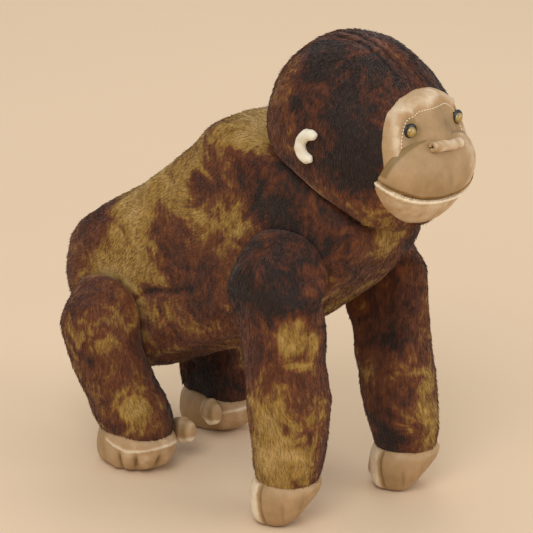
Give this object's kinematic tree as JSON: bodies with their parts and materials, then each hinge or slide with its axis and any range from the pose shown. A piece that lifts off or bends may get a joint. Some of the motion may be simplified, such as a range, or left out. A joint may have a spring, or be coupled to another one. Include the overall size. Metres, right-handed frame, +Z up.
{
  "type": "stuffed monkey",
  "caption": "Disc-jointed plush ape on all fours, with felt face, hands and feet, glass eyes, and a head, arms and legs that turn.",
  "frame": {"origin": "on the floor under the middle of the object's box", "axes": "+X forward, the way the ape faces; +Y to its left; +Z up"},
  "size_m": [0.3274, 0.1494, 0.3262],
  "materials": {
    "mottled_plush": "short brown and golden mohair plush",
    "tan_felt": "matte wool felt",
    "cream_felt": "matte wool felt",
    "amber_glass": "polished glass with a dark pupil",
    "stuffing": "packed wood wool",
    "disc_board": "pressed board",
    "pin_steel": "bright wire"
  },
  "bodies": {
    "torso": {"torso_skin_left": "mottled_plush", "torso_skin_right": "mottled_plush", "belly_gusset": "mottled_plush", "torso_stuffing": "stuffing", "neck_body_disc": "disc_board", "neck_washer": "pin_steel", "neck_pin": "pin_steel", "shoulder_left_body_disc": "disc_board", "shoulder_left_washer": "pin_steel", "shoulder_left_pin": "pin_steel", "hip_left_body_disc": "disc_board", "hip_left_washer": "pin_steel", "hip_left_pin": "pin_steel", "shoulder_right_body_disc": "disc_board", "shoulder_right_washer": "pin_steel", "shoulder_right_pin": "pin_steel", "hip_right_body_disc": "disc_board", "hip_right_washer": "pin_steel", "hip_right_pin": "pin_steel"},
    "head": {"head_side_left": "mottled_plush", "head_side_right": "mottled_plush", "head_gusset": "mottled_plush", "head_stuffing": "stuffing", "head_disc": "disc_board", "brow_patch": "tan_felt", "muzzle_upper": "tan_felt", "chin_lip": "tan_felt", "muzzle_wadding": "stuffing", "nose_strip": "tan_felt", "eye_left": "amber_glass", "eye_wire_left": "pin_steel", "ear_left": "cream_felt", "eye_right": "amber_glass", "eye_wire_right": "pin_steel", "ear_right": "cream_felt"},
    "arm_left": {"arm_left_outer_skin": "mottled_plush", "arm_left_inner_skin": "mottled_plush", "arm_left_stuffing": "stuffing", "arm_left_disc": "disc_board", "hand_left": "tan_felt", "thumb_left": "tan_felt"},
    "leg_left": {"leg_left_outer_skin": "mottled_plush", "leg_left_inner_skin": "mottled_plush", "leg_left_stuffing": "stuffing", "leg_left_disc": "disc_board", "foot_left": "tan_felt", "big_toe_left": "tan_felt"},
    "arm_right": {"arm_right_outer_skin": "mottled_plush", "arm_right_inner_skin": "mottled_plush", "arm_right_stuffing": "stuffing", "arm_right_disc": "disc_board", "hand_right": "tan_felt", "thumb_right": "tan_felt"},
    "leg_right": {"leg_right_outer_skin": "mottled_plush", "leg_right_inner_skin": "mottled_plush", "leg_right_stuffing": "stuffing", "leg_right_disc": "disc_board", "foot_right": "tan_felt", "big_toe_right": "tan_felt"}
  },
  "joints": [
    {"name": "neck", "type": "hinge", "parent": "torso", "child": "head", "pos_m": [0.07484, 0, 0.2275], "axis": [0.4226, 0, 0.9063], "range_deg": [-60, 60]},
    {"name": "shoulder_left", "type": "hinge", "parent": "torso", "child": "arm_left", "pos_m": [0.0527, 0.037, 0.16], "axis": [0, 1, 0], "range_deg": [-50, 20]},
    {"name": "hip_left", "type": "hinge", "parent": "torso", "child": "leg_left", "pos_m": [-0.1093, 0.037, 0.0979], "axis": [0, 1, 0], "range_deg": [-15, 45]},
    {"name": "shoulder_right", "type": "hinge", "parent": "torso", "child": "arm_right", "pos_m": [0.0527, -0.037, 0.16], "axis": [0, 1, 0], "range_deg": [-50, 20]},
    {"name": "hip_right", "type": "hinge", "parent": "torso", "child": "leg_right", "pos_m": [-0.1093, -0.037, 0.0979], "axis": [0, 1, 0], "range_deg": [-15, 45]}
  ]
}
